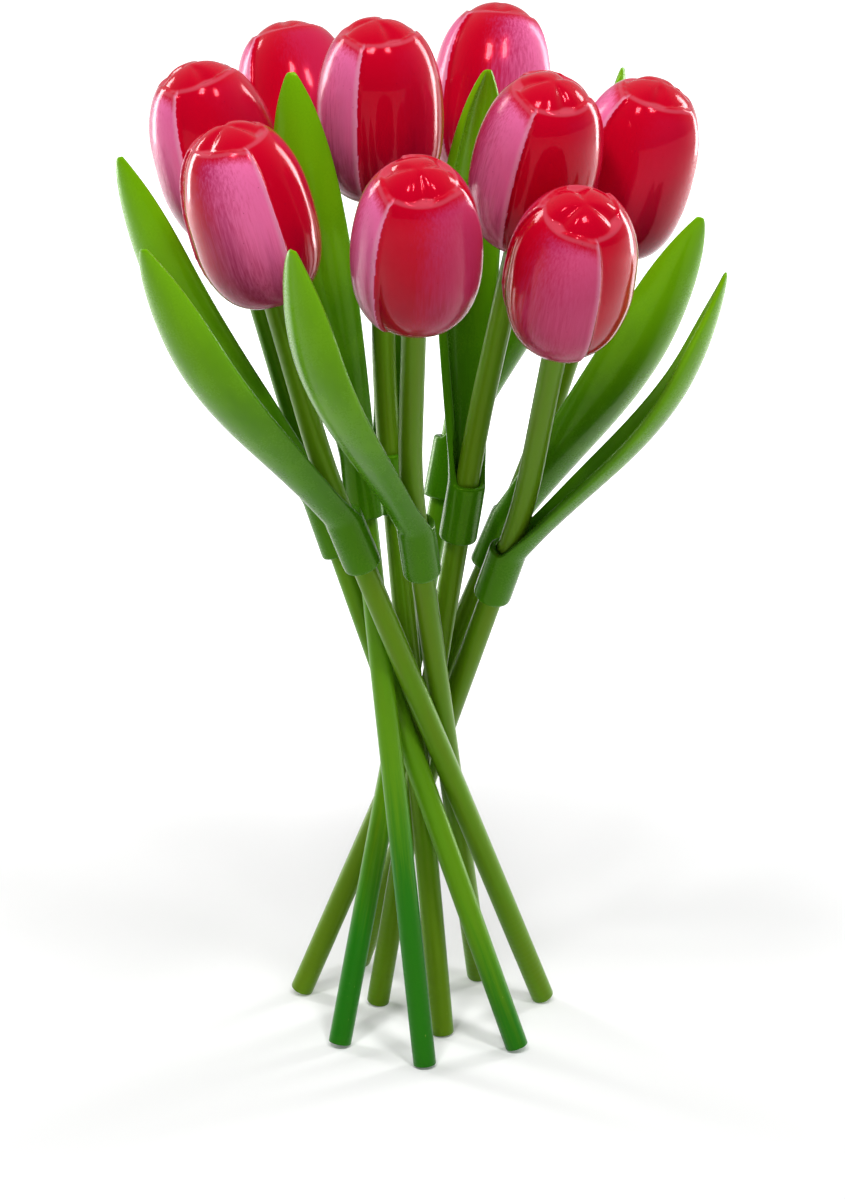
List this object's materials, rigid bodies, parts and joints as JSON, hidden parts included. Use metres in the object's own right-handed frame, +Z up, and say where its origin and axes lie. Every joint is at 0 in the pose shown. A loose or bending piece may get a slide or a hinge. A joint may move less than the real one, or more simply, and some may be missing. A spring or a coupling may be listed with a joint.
{
  "type": "wooden tulips",
  "caption": "Bunch of painted wooden tulips with crossing dowel stems: carved red blooms, and green moulded leaves that turn on the stems; it stands on the sawn stem ends",
  "frame": {"origin": "on the floor under the middle of the bunch's bounding box", "axes": "+Z up; the picture looks along +Y; +X to the picture's right"},
  "size_m": [0.1836, 0.1824, 0.3411],
  "materials": {
    "red_lacquer": "gloss",
    "green_paint": "satin",
    "leaf_green": "gloss"
  },
  "bodies": {
    "tulip_left_back": {"bloom_left_back": "red_lacquer", "stem_left_back": "green_paint"},
    "leaf_left_back": {"leaf_left_back": "leaf_green"},
    "tulip_left_front": {"bloom_left_front": "red_lacquer", "stem_left_front": "green_paint"},
    "leaf_left_front": {"leaf_left_front": "leaf_green"},
    "tulip_back_left": {"bloom_back_left": "red_lacquer", "stem_back_left": "green_paint"},
    "leaf_back_left": {"leaf_back_left": "leaf_green"},
    "tulip_back_middle": {"bloom_back_middle": "red_lacquer", "stem_back_middle": "green_paint"},
    "leaf_back_middle": {"leaf_back_middle": "leaf_green"},
    "tulip_back_right": {"bloom_back_right": "red_lacquer", "stem_back_right": "green_paint"},
    "leaf_back_right": {"leaf_back_right": "leaf_green"},
    "tulip_front_middle": {"bloom_front_middle": "red_lacquer", "stem_front_middle": "green_paint"},
    "leaf_front_middle": {"leaf_front_middle": "leaf_green"},
    "tulip_middle_right": {"bloom_middle_right": "red_lacquer", "stem_middle_right": "green_paint"},
    "leaf_middle_right": {"leaf_middle_right": "leaf_green"},
    "tulip_right_back": {"bloom_right_back": "red_lacquer", "stem_right_back": "green_paint"},
    "leaf_right_back": {"leaf_right_back": "leaf_green"},
    "tulip_right_front": {"bloom_right_front": "red_lacquer", "stem_right_front": "green_paint"},
    "leaf_right_front": {"leaf_right_front": "leaf_green"}
  },
  "joints": [
    {"name": "draw_left_back", "type": "slide", "parent": "tulip_back_middle", "child": "tulip_left_back", "axis": [-0.3215, 0.0697, 0.9443], "range_m": [0, 0.12]},
    {"name": "turn_leaf_left_back", "type": "hinge", "parent": "tulip_left_back", "child": "leaf_left_back", "pos_m": [-0.02454, 0.00735, 0.16744], "axis": [-0.3215, 0.0697, 0.9443], "range_deg": [-110, 0]},
    {"name": "draw_left_front", "type": "slide", "parent": "tulip_back_middle", "child": "tulip_left_front", "axis": [-0.3118, -0.273, 0.9101], "range_m": [0, 0.12]},
    {"name": "turn_leaf_left_front", "type": "hinge", "parent": "tulip_left_front", "child": "leaf_left_front", "pos_m": [-0.01727, -0.01809, 0.17265], "axis": [-0.3118, -0.273, 0.9101], "range_deg": [-90, 15]},
    {"name": "draw_back_left", "type": "slide", "parent": "tulip_back_middle", "child": "tulip_back_left", "axis": [-0.1021, 0.0992, 0.9898], "range_m": [0, 0.015]},
    {"name": "turn_leaf_back_left", "type": "hinge", "parent": "tulip_back_left", "child": "leaf_back_left", "pos_m": [-0.01673, 0.00125, 0.18167], "axis": [-0.1021, 0.0992, 0.9898], "range_deg": [-4, 5]},
    {"name": "turn_leaf_back_middle", "type": "hinge", "parent": "tulip_back_middle", "child": "leaf_back_middle", "pos_m": [-0.00745, 0.01282, 0.1796], "axis": [-0.0848, 0.0307, 0.9959], "range_deg": [-5, 3]},
    {"name": "draw_back_right", "type": "slide", "parent": "tulip_back_middle", "child": "tulip_back_right", "axis": [0.181, 0.18, 0.9669], "range_m": [0, 0.12]},
    {"name": "turn_leaf_back_right", "type": "hinge", "parent": "tulip_back_right", "child": "leaf_back_right", "pos_m": [0.00726, 0.03117, 0.17789], "axis": [0.181, 0.18, 0.9669], "range_deg": [0, 70]},
    {"name": "draw_front_middle", "type": "slide", "parent": "tulip_back_middle", "child": "tulip_front_middle", "axis": [-0.1047, -0.3565, 0.9284], "range_m": [0, 0.12]},
    {"name": "turn_leaf_front_middle", "type": "hinge", "parent": "tulip_front_middle", "child": "leaf_front_middle", "pos_m": [0.00115, -0.01358, 0.1685], "axis": [-0.1047, -0.3565, 0.9284], "range_deg": [-10, 25]},
    {"name": "draw_middle_right", "type": "slide", "parent": "tulip_back_middle", "child": "tulip_middle_right", "axis": [0.1493, -0.119, 0.9816], "range_m": [0, 0.12]},
    {"name": "turn_leaf_middle_right", "type": "hinge", "parent": "tulip_middle_right", "child": "leaf_middle_right", "pos_m": [0.01228, 0.01018, 0.17151], "axis": [0.1493, -0.119, 0.9816], "range_deg": [-25, 8]},
    {"name": "draw_right_back", "type": "slide", "parent": "tulip_back_middle", "child": "tulip_right_back", "axis": [0.3606, -0.1104, 0.9262], "range_m": [0, 0.12]},
    {"name": "turn_leaf_right_back", "type": "hinge", "parent": "tulip_right_back", "child": "leaf_right_back", "pos_m": [0.022, 0.02025, 0.15886], "axis": [0.3606, -0.1104, 0.9262], "range_deg": [-30, 110]},
    {"name": "draw_right_front", "type": "slide", "parent": "tulip_back_middle", "child": "tulip_right_front", "axis": [0.2568, -0.3415, 0.9041], "range_m": [0, 0.12]},
    {"name": "turn_leaf_right_front", "type": "hinge", "parent": "tulip_right_front", "child": "leaf_right_front", "pos_m": [0.02312, 0.0042, 0.1544], "axis": [0.2568, -0.3415, 0.9041], "range_deg": [-40, 4]}
  ]
}
